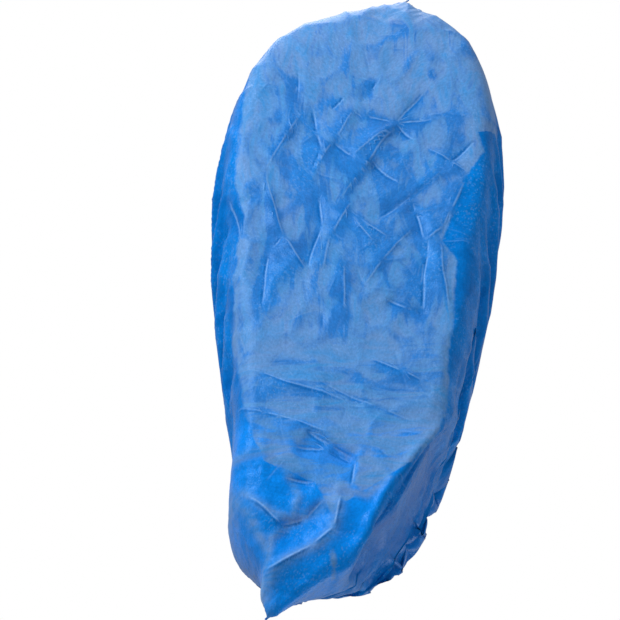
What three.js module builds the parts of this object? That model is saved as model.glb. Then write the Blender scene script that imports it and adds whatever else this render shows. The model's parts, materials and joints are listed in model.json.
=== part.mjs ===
// A disposable shoe cover of thin blown film, in the form that it has on a shoe.
//
// The real one is a flat film blank folded along the middle of the sole, welded
// up both ends, and gathered by an elastic cord that runs in a hem round the
// ankle opening. Here each of those pieces is one closed solid.
//
// Frame, in millimetres: +Z up out of the ankle opening, -Y to the toe, +Y to
// the heel. The origin is the middle of the film's inner face, under the foot.

import * as THREE from "three";
import { ParametricGeometry } from "three/addons/geometries/ParametricGeometry.js";

// Driving dimensions.
const WALL = 1.2; // film wall, standing in for film of 0.03 mm
const GAP = 0.3; // left between pieces that touch
const TOE_REACH = 164; // from the origin to the front of the toe, without its corner
const HEEL_REACH = 153; // from the origin to the back of the heel, without its tail
const HALF_WIDTH = 76; // half width that the rings below are shares of
const HEM_BACK_HEIGHT = 116; // top of the gathered opening, behind the heel
const HEM_RADIUS = 3.4; // outside of the hem tunnel
const HEM_SLIT_DEG = 50; // the tunnel is open along its inner lower side
const CORD_RADIUS = 1.3; // elastic cord inside the tunnel
const WELD_HEIGHT = 2.2; // how far a weld bead stands off the film
const WELD_WIDTH = 1.6;

const SOLE_POWER = 0.45; // 1 would make a ring an ellipse, less is squarer
const RIM_POWER = 0.7;
const RISE_POWER = 0.7; // less than 1 brings the dip of the hem towards the toe

// Mesh density: steps round the opening, four to each gather at the hem.
const GATHERS = 21;
const ROUND_STEPS = 4 * GATHERS;
const WALL_STEPS = 17; // from the spine under the foot up to the rim
const HEM_ARC_STEPS = 5;
const CORD_SIDES = 6;
const WELD_FIRST_STEP = 9; // a weld keeps to the same steps of the wall
const WELD_LAST_STEP = 16;

// The rings that the film passes through, from the fold under the foot to the
// rim. toe and heel are how far a ring reaches, as shares of the reaches above.
// half and rise each have five values along it, at the toe, ball, waist, back and
// heel: half widths as shares of HALF_WIDTH, and heights as shares of
// HEM_BACK_HEIGHT. drift is how much of the sideways wander a ring takes.
const RINGS = [
  { name: "spine", toe: 0.93, heel: 0.9, drift: 1, half: [0, 0, 0, 0, 0], rise: [0, 0, 0, 0, 0] },
  { name: "tread", toe: 0.955, heel: 0.93, drift: 1, half: [0.42, 0.42, 0.36, 0.32, 0.34], rise: [0, 0, 0, 0, 0] },
  { name: "sole", toe: 0.98, heel: 0.96, drift: 1, half: [0.8, 0.82, 0.7, 0.62, 0.68], rise: [0.04, 0, 0, 0, 0] },
  { name: "edge", toe: 1, heel: 0.985, drift: 1, half: [0.97, 0.97, 0.83, 0.75, 0.82], rise: [0.1, 0.07, 0.07, 0.07, 0.08] },
  { name: "bulge", toe: 0.985, heel: 1, drift: 1, half: [1.04, 1.05, 0.9, 0.78, 0.83], rise: [0.25, 0.24, 0.24, 0.25, 0.26] },
  { name: "side", toe: 0.91, heel: 1, drift: 0.95, half: [1, 0.98, 0.87, 0.77, 0.82], rise: [0.44, 0.42, 0.43, 0.45, 0.48] },
  { name: "shoulder", toe: 0.73, heel: 0.97, drift: 0.8, half: [0.86, 0.87, 0.8, 0.72, 0.78], rise: [0.63, 0.54, 0.57, 0.63, 0.68] },
  { name: "collar", toe: 0.5, heel: 0.915, drift: 0.65, half: [0.74, 0.76, 0.7, 0.64, 0.68], rise: [0.78, 0.59, 0.65, 0.76, 0.82] },
  { name: "rim", toe: 0.29, heel: 0.84, drift: 0.5, half: [0.6, 0.63, 0.6, 0.56, 0.6], rise: [0.87, 0.62, 0.67, 0.83, 0.91] },
];
const LAST_RING = RINGS.length - 1;
const SOLE_RING = RINGS.findIndex((ring) => ring.name === "sole");
const BULGE_RING = RINGS.findIndex((ring) => ring.name === "bulge");
const SIDE_RING = RINGS.findIndex((ring) => ring.name === "side");

// The middle line wanders sideways from toe to heel, because the film sits askew.
const CENTRE_DRIFT = [8, 2, -3, -8, -17];

// The two lower corners of the folded blank stick out past the shoe.
// spread is how far round the ring, in radians, a corner draws the film in.
const TOE_CORNER = { x: 28, y: -176, z: 14, spread: 0.24, thick: 4 };
const HEEL_TAIL = { x: -46, y: 188, z: 20, spread: 0.36, thick: 5 };
const INNER_CORNER_SHARE = 0.45; // how far the hollow follows the film into a corner

// Main folds, running down from the hem. angle is measured round from the toe
// towards +X, lean is how far a fold swings round by its foot, both in degrees;
// foot is the ring it dies out at, depth is outwards, half is its half width.
const FOLDS = [
  { angle: 14, lean: -6, foot: 4.2, depth: 3.4, half: 6 },
  { angle: 33, lean: -8, foot: 4.0, depth: -3.2, half: 6 },
  { angle: 52, lean: -9, foot: 3.6, depth: 3.8, half: 7 },
  { angle: 74, lean: -6, foot: 3.8, depth: -3.0, half: 6 },
  { angle: 97, lean: 2, foot: 3.9, depth: 3.6, half: 7 },
  { angle: 121, lean: 6, foot: 4.1, depth: -3.2, half: 6 },
  { angle: 146, lean: 7, foot: 3.9, depth: 3.6, half: 6 },
  { angle: 171, lean: 4, foot: 4.4, depth: -3.0, half: 6 },
  { angle: 193, lean: -4, foot: 4.0, depth: 3.2, half: 6 },
  { angle: 216, lean: -7, foot: 3.8, depth: -3.4, half: 7 },
  { angle: 241, lean: -5, foot: 3.9, depth: 3.8, half: 6 },
  { angle: 264, lean: 3, foot: 3.7, depth: -3.2, half: 7 },
  { angle: 288, lean: 8, foot: 3.9, depth: 3.6, half: 6 },
  { angle: 309, lean: 9, foot: 3.7, depth: -3.4, half: 7 },
  { angle: 331, lean: 7, foot: 4.1, depth: 3.4, half: 6 },
  { angle: 349, lean: 4, foot: 4.3, depth: -2.6, half: 5 },
];
const GATHER_DEPTH = 1.3; // small gathers, right at the hem
const GATHER_FADE = 0.8; // in rings

const smooth = THREE.MathUtils.smoothstep;
const lerp = THREE.MathUtils.lerp;

/** A smooth value at share t of the way through evenly spaced values. */
function between(values, t) {
  const spans = values.length - 1;
  const at = THREE.MathUtils.clamp(t, 0, 1) * spans;
  const i = Math.min(Math.floor(at), spans - 1);
  const f = at - i;
  const before = values[Math.max(i - 1, 0)];
  const after = values[Math.min(i + 2, spans)];
  const rise = (values[i + 1] - before) / 2;
  const fall = (after - values[i]) / 2;
  const jump = values[i + 1] - values[i];
  return values[i] + f * (rise + f * (3 * jump - 2 * rise - fall + f * (rise + fall - 2 * jump)));
}

/** The point of one ring at an angle round it, before folds. */
function onRing(ring, index, angle) {
  const share = (1 - Math.cos(angle)) / 2; // 0 at the toe, 1 at the heel
  const power = lerp(SOLE_POWER, RIM_POWER, smooth(index, BULGE_RING, LAST_RING));
  const round = Math.sign(Math.sin(angle)) * Math.abs(Math.sin(angle)) ** power;
  const y = lerp(-ring.toe * TOE_REACH, ring.heel * HEEL_REACH, share);
  const along = (y + TOE_REACH) / (TOE_REACH + HEEL_REACH);
  return new THREE.Vector3(
    between(ring.half, share) * HALF_WIDTH * round + between(CENTRE_DRIFT, along) * ring.drift,
    y,
    between(ring.rise, share ** RISE_POWER) * HEM_BACK_HEIGHT,
  );
}

/** The turn from one angle to another, the short way round. */
function turn(from, to) {
  return Math.atan2(Math.sin(to - from), Math.cos(to - from));
}

/** Draws a point of the film out towards a corner of the blank. */
function drawToCorner(point, corner, off, level, share) {
  const reach = Math.exp(-((off / corner.spread) ** 2));
  const low = 1 - smooth(level, BULGE_RING - 0.5, SIDE_RING + 1.5);
  const height = corner.z + corner.thick * (level / BULGE_RING - 0.5);
  point.lerp(new THREE.Vector3(corner.x, corner.y, height), share * reach * low);
}

/** The film's smooth outer face. level counts rings, 0 at the spine. */
function smoothFace(angle, level, cornerShare) {
  const points = RINGS.map((ring, index) => onRing(ring, index, angle));
  const share = level / LAST_RING;
  const point = new THREE.Vector3(
    between(points.map((p) => p.x), share),
    between(points.map((p) => p.y), share),
    between(points.map((p) => p.z), share),
  );
  point.z = level <= SOLE_RING ? Math.max(point.z, 0) : point.z;
  drawToCorner(point, TOE_CORNER, turn(0, angle), level, cornerShare);
  drawToCorner(point, HEEL_TAIL, turn(Math.PI, angle), level, cornerShare);
  return point;
}

/** The outward direction of the smooth face. */
function outward(angle, level, cornerShare) {
  const step = 0.01;
  const low = Math.max(level - step, 0.02);
  const high = Math.min(level + step, LAST_RING);
  const middle = (low + high) / 2;
  const round = smoothFace(angle + step, middle, cornerShare)
    .sub(smoothFace(angle - step, middle, cornerShare));
  const up = smoothFace(angle, high, cornerShare).sub(smoothFace(angle, low, cornerShare));
  return round.cross(up).normalize();
}

/** How far folds and gathers push the film out at a place. */
function pleat(angle, level) {
  const drop = LAST_RING - level;
  let push = GATHER_DEPTH * Math.cos(GATHERS * angle) * Math.exp(-drop / GATHER_FADE);
  for (const fold of FOLDS) {
    const swing = (fold.lean * drop) / (LAST_RING - fold.foot);
    const middle = THREE.MathUtils.degToRad(fold.angle + swing);
    const half = THREE.MathUtils.degToRad(fold.half);
    const fade = smooth(level, fold.foot, fold.foot + 1.6) * (1 - 0.5 * smooth(level, LAST_RING - 1, LAST_RING));
    push += fold.depth * fade * Math.exp(-((turn(middle, angle) / half) ** 2));
  }
  return push;
}

/** A point of the film wall: depth 0 is its outer face and WALL its inner one. */
function filmPoint(angle, level, depth) {
  const cornerShare = depth > 0 ? INNER_CORNER_SHARE : 1;
  const out = outward(angle, level, cornerShare);
  const point = smoothFace(angle, level, cornerShare);
  point.addScaledVector(out, pleat(angle, level) - depth);
  if (level <= SOLE_RING) point.z = Math.max(point.z, depth);
  point.z -= WALL; // the inner face of the sole is the frame's zero height
  return point;
}

/** The film bag: out from the spine, up the wall, over the rim and back down inside. */
function filmBody() {
  const rows = 2 * WALL_STEPS + 1;
  const face = (u, v, target) => {
    const row = Math.round(v * rows);
    const inside = row > WALL_STEPS;
    const level = ((inside ? rows - row : row) / WALL_STEPS) * LAST_RING;
    const angle = u === 1 ? 0 : 2 * Math.PI * u;
    const folded = level === 0 ? Math.PI - Math.abs(Math.PI - angle) : angle; // both sides meet at the spine
    target.copy(filmPoint(folded, level, inside ? WALL : 0));
  };
  return new ParametricGeometry(face, ROUND_STEPS, rows);
}

/** The middle of the hem tunnel above the rim, with the way out and the way up there. */
function hemFrame(angle) {
  const out = outward(angle, LAST_RING, 1);
  const up = smoothFace(angle, LAST_RING, 1).sub(smoothFace(angle, LAST_RING - 0.2, 1)).normalize();
  const centre = filmPoint(angle, LAST_RING, WALL / 2).addScaledVector(up, HEM_RADIUS + GAP);
  return { centre, out, up };
}

/** A ring of section points, each an outward and an upward share, swept round the hem. */
function sweptRound(section) {
  const face = (u, v, target) => {
    const { centre, out, up } = hemFrame(u === 1 ? 0 : 2 * Math.PI * u);
    const [across, rise] = section[Math.round(v * section.length) % section.length];
    target.copy(centre).addScaledVector(out, across).addScaledVector(up, rise);
  };
  return new ParametricGeometry(face, ROUND_STEPS, section.length);
}

/** An arc of section points round the tunnel's middle, from one angle to another. */
function arcPoints(radius, fromDeg, toDeg, steps) {
  return Array.from({ length: steps + 1 }, (_, i) => {
    const a = THREE.MathUtils.degToRad(lerp(fromDeg, toDeg, i / steps));
    return [radius * Math.cos(a), radius * Math.sin(a)];
  });
}

/** The hem tunnel: film rolled over the cord, with a slit along its inner lower side. */
function hemTunnel() {
  const slitAt = -135;
  const from = slitAt + HEM_SLIT_DEG / 2;
  const to = slitAt + 360 - HEM_SLIT_DEG / 2;
  const outer = arcPoints(HEM_RADIUS, to, from, HEM_ARC_STEPS);
  const inner = arcPoints(HEM_RADIUS - WALL, from, to, HEM_ARC_STEPS - 1);
  return sweptRound([...outer, ...inner].reverse());
}

/** The elastic cord inside the tunnel. */
function elasticCord() {
  return sweptRound(arcPoints(CORD_RADIUS, 0, 360, CORD_SIDES).slice(0, CORD_SIDES));
}

/** A weld bead up one end of the bag, from its corner to just below the hem. */
function weldBead(angle) {
  const corners = [[-1, 1], [1, 1], [1, 0], [-1, 0]];
  const face = (u, v, target) => {
    const level = (lerp(WELD_FIRST_STEP, WELD_LAST_STEP, v) / WALL_STEPS) * LAST_RING;
    const ends = v === 0 || v === 1 ? 0 : 1; // both ends close to a point
    const [side, rise] = corners[Math.round(u * corners.length) % corners.length];
    const across = (side * ends * WELD_WIDTH) / 2;
    const height = GAP + (0.5 + ends * (rise - 0.5)) * WELD_HEIGHT;
    target.copy(filmPoint(angle, level, 0)).addScaledVector(outward(angle, level, 1), height);
    target.x += angle === 0 ? across : -across;
  };
  return new ParametricGeometry(face, corners.length, WELD_LAST_STEP - WELD_FIRST_STEP);
}

function piece(name, geometry, material) {
  const mesh = new THREE.Mesh(geometry, material);
  mesh.name = name;
  return mesh;
}

const film = new THREE.MeshStandardMaterial({ color: 0x1f7fce, roughness: 0.42, metalness: 0 });
const hemFilm = new THREE.MeshStandardMaterial({ color: 0x0f66c2, roughness: 0.42, metalness: 0 });
const elastic = new THREE.MeshStandardMaterial({ color: 0xdfe6ea, roughness: 0.7, metalness: 0 });

const shoeCover = new THREE.Group();
shoeCover.add(
  piece("film_body", filmBody(), film),
  piece("hem_tunnel", hemTunnel(), hemFilm),
  piece("elastic_cord", elasticCord(), elastic),
  piece("toe_weld", weldBead(0), film),
  piece("heel_weld", weldBead(Math.PI), film),
);

export default shoeCover;
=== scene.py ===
"""The looks of a disposable shoe cover of thin embossed film, in its worn form.

The film is one sheet, laid over the cover's smooth form by its real flat size and
relaxed until its slack has gone into folds. Creases are pressed into it after that.
"""

import json
import math

import bmesh
import bpy
import numpy as np
from mathutils import Matrix, Vector

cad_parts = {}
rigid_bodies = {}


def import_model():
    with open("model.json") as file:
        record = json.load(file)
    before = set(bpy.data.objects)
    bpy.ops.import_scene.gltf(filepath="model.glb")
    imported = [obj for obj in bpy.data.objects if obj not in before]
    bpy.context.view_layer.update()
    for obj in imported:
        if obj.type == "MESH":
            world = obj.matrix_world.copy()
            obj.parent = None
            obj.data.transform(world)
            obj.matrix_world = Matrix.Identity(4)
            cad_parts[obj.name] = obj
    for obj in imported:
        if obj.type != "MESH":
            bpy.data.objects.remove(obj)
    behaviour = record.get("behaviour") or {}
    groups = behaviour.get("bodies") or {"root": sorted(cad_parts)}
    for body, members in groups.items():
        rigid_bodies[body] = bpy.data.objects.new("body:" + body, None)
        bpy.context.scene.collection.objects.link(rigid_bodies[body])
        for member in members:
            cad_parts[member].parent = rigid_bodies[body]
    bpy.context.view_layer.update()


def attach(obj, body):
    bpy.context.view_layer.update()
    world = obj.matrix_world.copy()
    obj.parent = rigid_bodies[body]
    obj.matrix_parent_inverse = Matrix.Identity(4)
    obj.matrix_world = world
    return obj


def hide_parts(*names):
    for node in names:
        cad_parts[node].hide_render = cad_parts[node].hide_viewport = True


for spare in list(bpy.data.objects):
    bpy.data.objects.remove(spare)
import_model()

MM = 0.001

# ---------------------------------------------------------------- camera and light

VIEW_TILT = math.radians(32)  # off the sole's normal, towards the heel
VIEW_DISTANCE = 1.4
VIEW_WIDTH = 0.31  # what the camera takes in across the sole, in metres
SENSOR = 36.0

towards = Vector((0, math.sin(VIEW_TILT), -math.cos(VIEW_TILT)))
down = Vector((0, math.cos(VIEW_TILT), math.sin(VIEW_TILT)))
middle = Vector((-0.025, 0, 0)) + 0.0235 * down


def table(columns, *rows):
    """Rows of values as dicts under named columns."""
    return [dict(zip(columns.split(), row)) for row in rows]


def aimed(name, data, place, back, up):
    """An object at a place whose own +Z points back and whose +Y points up."""
    obj = bpy.data.objects.new(name, data)
    bpy.context.scene.collection.objects.link(obj)
    back = back.normalized()
    right = up.cross(back).normalized()
    up = back.cross(right)
    obj.matrix_world = Matrix.Translation(place) @ Matrix((right, up, back)).transposed().to_4x4()
    return obj


camera_data = bpy.data.cameras.new("camera")
camera_data.sensor_width = SENSOR
camera_data.lens = SENSOR * VIEW_DISTANCE / VIEW_WIDTH
camera_data.clip_end = 20
camera = aimed("camera", camera_data, middle + VIEW_DISTANCE * towards, towards, -down)
bpy.context.scene.camera = camera

AMBIENT = 0.55  # the room's even light, beside a backdrop of 1

# Where each soft light stands, as seen from the camera: right, up and towards it.
LIGHTS = table(
    "name right up near size watts",
    ("key", -0.7, 0.95, 0.4, 0.32, 15),
    ("fill", 1.0, 0.1, 0.9, 0.9, 2),
    ("rim", 0.5, -0.9, -0.35, 0.5, 2),
    ("top", -0.2, 0.9, -0.9, 0.8, 8),
)
for light in LIGHTS:
    offset = Vector((light["right"], 0, 0)) - light["up"] * down + light["near"] * towards
    lamp = bpy.data.lights.new(light["name"], "AREA")
    lamp.size = light["size"]
    lamp.energy = light["watts"]
    aimed(light["name"], lamp, middle + offset, offset, Vector((0, 0.3, 1)))


def linear(hex_colour):
    """An sRGB hex colour as linear RGBA."""
    channels = [int(hex_colour[i : i + 2], 16) / 255 for i in (0, 2, 4)]
    return [c / 12.92 if c <= 0.04045 else ((c + 0.055) / 1.055) ** 2.4 for c in channels] + [1]


def node(tree, kind, links_in=None, give=None, stops=(), **settings):
    """Adds a node with its settings and links, and returns it, or its output called give.

    links_in maps inputs to sockets or to plain values. stops are a ramp's places and colours.
    """
    new = tree.nodes.new(kind)
    for key, value in settings.items():
        setattr(new, key, value)
    for key, value in (links_in or {}).items():
        if isinstance(value, bpy.types.NodeSocket):
            tree.links.new(value, new.inputs[key])
        else:
            new.inputs[key].default_value = value
    for stop, (place, colour) in enumerate(stops):
        new.color_ramp.elements[stop].position = place
        new.color_ramp.elements[stop].color = colour
    return new if give is None else new.outputs[give]


bpy.context.scene.view_settings.view_transform = "Standard"
world = bpy.data.worlds.new("studio")
world.use_nodes = True
sky = world.node_tree
seen_directly = node(sky, "ShaderNodeLightPath", give="Is Camera Ray")
strength = node(
    sky, "ShaderNodeMapRange", {"Value": seen_directly, "To Min": AMBIENT, "To Max": 1.0}, "Result"
)
sky.nodes["Background"].inputs["Color"].default_value = linear("ffffff")
sky.links.new(strength, sky.nodes["Background"].inputs["Strength"])
bpy.context.scene.world = world

# ---------------------------------------------------------------- the smooth form

# Sizes in mm.
WALL = 1.2  # of the CAD film, whose outer face the form follows
TOE_REACH = 164
HEEL_REACH = 153
HALF_WIDTH = 76
HEM_BACK_HEIGHT = 116
SOLE_POWER = 0.45
RIM_POWER = 0.7
RISE_POWER = 0.7
SOLE_RING, BULGE_RING, SIDE_RING, LAST_RING = 2, 4, 5, 8

# Each ring's reach to the toe and heel, its share of the sideways wander, and its
# half widths and heights at the toe, ball, waist, back and heel, all as shares.
RINGS = table(
    "name toe heel drift half rise",
    ("spine", 0.93, 0.9, 1, [0, 0, 0, 0, 0], [0, 0, 0, 0, 0]),
    ("tread", 0.955, 0.93, 1, [0.42, 0.42, 0.36, 0.32, 0.34], [0, 0, 0, 0, 0]),
    ("sole", 0.98, 0.96, 1, [0.8, 0.82, 0.7, 0.62, 0.68], [0.04, 0, 0, 0, 0]),
    ("edge", 1, 0.985, 1, [0.97, 0.97, 0.83, 0.75, 0.82], [0.1, 0.07, 0.07, 0.07, 0.08]),
    ("bulge", 0.985, 1, 1, [1.04, 1.05, 0.9, 0.78, 0.83], [0.25, 0.24, 0.24, 0.25, 0.26]),
    ("side", 0.91, 1, 0.95, [1, 0.98, 0.87, 0.77, 0.82], [0.44, 0.42, 0.43, 0.45, 0.48]),
    ("shoulder", 0.73, 0.945, 0.8, [0.86, 0.87, 0.8, 0.72, 0.78], [0.63, 0.54, 0.57, 0.63, 0.68]),
    ("collar", 0.5, 0.89, 0.65, [0.74, 0.76, 0.7, 0.64, 0.68], [0.78, 0.59, 0.65, 0.76, 0.82]),
    ("rim", 0.29, 0.805, 0.5, [0.6, 0.63, 0.6, 0.56, 0.6], [0.87, 0.62, 0.67, 0.83, 0.91]),
)
CENTRE_DRIFT = [8, 2, -3, -8, -17]
TOE_CORNER = {"x": 28, "y": -176, "z": 14, "spread": 0.24, "power": 1.5, "thick": 4}
HEEL_TAIL = {"x": -46, "y": 188, "z": 20, "spread": 0.3, "power": 1.25, "thick": 4}


def smoothstep(x, low, high):
    t = np.clip((x - low) / (high - low), 0, 1)
    return t * t * (3 - 2 * t)


def between(values, t):
    """Smooth values at shares t of the way through evenly spaced ones."""
    values = np.asarray(values, float)
    spans = len(values) - 1
    at = np.clip(t, 0, 1) * spans
    i = np.minimum(at.astype(int), spans - 1)
    f = at - i

    def pick(k):
        k = np.clip(k, 0, spans)
        return values[k] if values.ndim == 1 else np.take_along_axis(values, k[None], 0)[0]

    here, after = pick(i), pick(i + 1)
    rise = (after - pick(i - 1)) / 2
    fall = (pick(i + 2) - here) / 2
    jump = after - here
    return here + f * (rise + f * (3 * jump - 2 * rise - fall + f * (rise + fall - 2 * jump)))


def turn(start, angle):
    return np.arctan2(np.sin(angle - start), np.cos(angle - start))


def smooth_form(angle, level):
    """Points of the film's smooth outer face, in mm, for arrays of the same shape."""
    share = (1 - np.cos(angle)) / 2
    rings = {"x": [], "y": [], "z": []}
    for index, ring in enumerate(RINGS):
        power = SOLE_POWER + (RIM_POWER - SOLE_POWER) * smoothstep(index, BULGE_RING, LAST_RING)
        round_ = np.sign(np.sin(angle)) * np.abs(np.sin(angle)) ** power
        y = -ring["toe"] * TOE_REACH + (ring["heel"] * HEEL_REACH + ring["toe"] * TOE_REACH) * share
        along = (y + TOE_REACH) / (TOE_REACH + HEEL_REACH)
        rings["x"].append(
            between(ring["half"], share) * HALF_WIDTH * round_
            + between(CENTRE_DRIFT, along) * ring["drift"]
        )
        rings["y"].append(y)
        rings["z"].append(between(ring["rise"], share**RISE_POWER) * HEM_BACK_HEIGHT)
    x, y, z = (between(np.array(rings[k]), level / LAST_RING) for k in "xyz")
    z = np.where(level <= SOLE_RING, np.maximum(z, 0), z)
    for corner, start in ((TOE_CORNER, 0), (HEEL_TAIL, math.pi)):
        pull = np.exp(-(np.abs(turn(start, angle) / corner["spread"]) ** corner["power"]))
        pull = pull * (1 - smoothstep(level, BULGE_RING - 0.5, SIDE_RING + 1.5))
        x = x + pull * (corner["x"] - x)
        y = y + pull * (corner["y"] - y)
        z = z + pull * (corner["z"] + corner["thick"] * (level / BULGE_RING - 0.5) - z)
    return np.stack([x, y, z - WALL], -1)


# ---------------------------------------------------------------- the sheet's grid

BLANK_LENGTH = 410.0  # along the fold, toe to heel
BLANK_HALF = 178.0  # from the fold up to the hem
ALONG = 236  # grid lines from toe to heel
HALF_ACROSS = 98  # and from the fold to the hem, on each side


def laid_grid(along, half_across):
    """Where each point of the flat blank lies on the smooth form, and how far up it is.

    Both ways go by length along the form, so that the sheet starts with the least stretch.
    """
    fine = math.pi * (0.5 - 0.5 * np.cos(np.linspace(0, math.pi, 361)))
    levels = np.linspace(0, LAST_RING, 121)
    sides = []
    for side in (-1, 1):
        form = smooth_form(*np.meshgrid(side * fine, levels, indexing="ij"))
        up = np.linalg.norm(np.diff(form, axis=1), axis=-1)
        up = np.concatenate([np.zeros((len(fine), 1)), np.cumsum(up, 1)], 1)
        up /= up[:, -1:]
        rows = []
        for share in np.linspace(0, 1, half_across):
            level = np.array([np.interp(share, up[k], levels) for k in range(len(fine))])
            line = smooth_form(side * fine, level)
            run = np.concatenate([[0], np.cumsum(np.linalg.norm(np.diff(line, axis=0), axis=1))])
            at = np.interp(np.linspace(0, 1, along), run / run[-1], fine)
            rows.append((side * at, np.interp(at, fine, level)))
        sides.append(rows)
    rows = sides[0][:0:-1] + sides[1]
    angle = np.array([r[0] for r in rows]).T
    level = np.array([r[1] for r in rows]).T
    return angle, level


def normals_of(points, passes=3):
    """Outward directions of a grid whose second axis runs from -X round below to +X."""
    n = np.cross(np.gradient(points, axis=0), np.gradient(points, axis=1))
    for _ in range(passes):
        n = n / np.maximum(np.linalg.norm(n, axis=-1, keepdims=True), 1e-9)
        padded = np.pad(n, ((1, 1), (1, 1), (0, 0)), "edge")
        n = 2 * n + padded[2:, 1:-1] + padded[:-2, 1:-1] + padded[1:-1, 2:] + padded[1:-1, :-2]
    return n / np.maximum(np.linalg.norm(n, axis=-1, keepdims=True), 1e-9)


def pull_together(points, first, second, rest, stretch, squash):
    """Moves linked points towards their flat distance. stretch and squash are how firmly."""
    gap = points[second] - points[first]
    length = np.maximum(np.sqrt((gap * gap).sum(-1, keepdims=True)), 1e-6)
    off = (length - rest) / length
    gap *= off * np.where(off > 0, stretch, squash) * 0.5
    points[first] += gap
    points[second] -= gap


def links(along, across, spacing):
    """The sheet's links as slices of its grid, none of which share a point within a group."""
    every = slice(None)
    found = []
    for start in (0, 1):
        found.append((
            (slice(start, along - 1, 2), every), (slice(start + 1, along, 2), every),
            spacing[0], "edge",
        ))
        found.append((
            (every, slice(start, across - 1, 2)), (every, slice(start + 1, across, 2)),
            spacing[1], "edge",
        ))
    slant = math.hypot(*spacing)
    for start in (0, 1):
        low, high = slice(start, along - 1, 2), slice(start + 1, along, 2)
        found.append(((low, slice(0, -1)), (high, slice(1, None)), slant, "slant"))
        found.append(((low, slice(1, None)), (high, slice(0, -1)), slant, "slant"))
    for step in (2, 4):
        for start in range(2 * step):
            if start % (2 * step) < step:
                n = (along - step - start + 2 * step - 1) // (2 * step)
                m = (across - step - start + 2 * step - 1) // (2 * step)
                if n > 0:
                    a = slice(start, start + 2 * step * n, 2 * step)
                    b = slice(start + step, start + step + 2 * step * n, 2 * step)
                    found.append(((a, every), (b, every), step * spacing[0], "bend"))
                if m > 0:
                    a = slice(start, start + 2 * step * m, 2 * step)
                    b = slice(start + step, start + step + 2 * step * m, 2 * step)
                    found.append(((every, a), (every, b), step * spacing[1], "bend"))
    return found


FIRMNESS = {"edge": (1.0, 0.7), "slant": (0.6, 0.3), "bend": (0.0, 0.16)}


def relax(points, form, out, lowest, highest, slide_limit, hem, spacing, steps):
    """Lets the sheet's slack fold up while it stays near the form, in place."""
    along, across = points.shape[:2]
    groups = links(along, across, spacing)
    before = points.copy()
    for _ in range(steps):
        drift = (points - before) * 0.85
        before[:] = points
        points += drift
        for first, second, rest, kind in groups:
            pull_together(points, first, second, rest, *FIRMNESS[kind])
        for end in (0, -1):  # the welded ends hold both sides together
            points[end] = (points[end] + points[end, ::-1]) / 2
        off = points - form
        rise = (off * out).sum(-1, keepdims=True)
        slide = off - rise * out
        length = np.maximum(np.linalg.norm(slide, axis=-1, keepdims=True), 1e-6)
        slide *= np.minimum(1, slide_limit / length)
        points[:] = form + slide + np.clip(rise, lowest, highest) * out
        points[:, 0] = hem[0]
        points[:, -1] = hem[1]


def coarser(grid, along, half_across):
    """A grid sampled down, or up, to other counts, straight between its points."""
    at = np.linspace(0, grid.shape[0] - 1, along)
    across = np.linspace(0, grid.shape[1] - 1, 2 * half_across - 1)
    i = np.minimum(at.astype(int), grid.shape[0] - 2)
    j = np.minimum(across.astype(int), grid.shape[1] - 2)
    f = (at - i)[:, None, None]
    g = (across - j)[None, :, None]
    a, b = grid[i][:, j], grid[i + 1][:, j]
    c, d = grid[i][:, j + 1], grid[i + 1][:, j + 1]
    return (a * (1 - f) + b * f) * (1 - g) + (c * (1 - f) + d * f) * g


SLIDE_LIMIT = 7.0
RUFFLE_LENGTH = 15.0  # flat film in one ruffle of the hem, in mm
RUFFLE_DEPTH = 2.6
SLACK_WAVES = 26  # random waves that the slack starts from
WELD_PASSES = 14  # that smooth a weld's line
WELD_SHARES = (1.0, 0.7, 0.4, 0.15)  # how far the film's first lines follow it

rng = np.random.default_rng(7)


def wander(count, period, seed):
    """A smooth random line of about unit size that changes over a period of samples."""
    r = np.random.default_rng(seed)
    knots = r.uniform(-1, 1, max(4, int(count / period) + 4))
    return between(knots, np.linspace(0, 1, count))


def ruffled_hem(form, out, up, seed):
    """The gathered edge: the smooth rim, pushed in and out in uneven ruffles."""
    count = len(form)
    run = np.linspace(0, BLANK_LENGTH, count)
    phase = 2 * math.pi * run / RUFFLE_LENGTH + 2.2 * wander(count, count / 14, seed)
    depth = RUFFLE_DEPTH * (1 + 0.45 * wander(count, count / 22, seed + 1))
    push = depth * np.sin(phase)
    lift = 0.8 * np.sin(phase * 0.5 + 1.3) + 0.8 * wander(count, count / 30, seed + 2)
    ends = np.sin(np.linspace(0, math.pi, count)) ** 0.25
    return form + (push * ends)[:, None] * out + (lift * ends)[:, None] * up


def tautness(angle, level):
    """How taut the film is by place: on the sole, and where the tail draws the heel's film."""
    heel = smoothstep(-np.cos(angle), 0.42, 0.68) * (1 - smoothstep(level, 4.4, 6.0))
    return np.maximum(heel, 1 - smoothstep(level, 2.2, 4.0))


def slack_limits(angle, level):
    """How far the film may sink below, stand above and slide on the smooth form."""
    side = smoothstep(level, 2.2, 4.0)
    near_hem = smoothstep(level, 6.0, 8.0)
    taut = tautness(angle, level)
    slide = 0.8 + (SLIDE_LIMIT - 0.8) * (1 - taut)
    lowest = -(0.25 + (3.2 * side + 1.0 * near_hem) * (1 - 0.9 * taut))
    highest = 0.35 + (3.4 * side + 0.8 * near_hem) * (1 - 0.9 * taut)
    return lowest[..., None], highest[..., None], slide[..., None]


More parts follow.
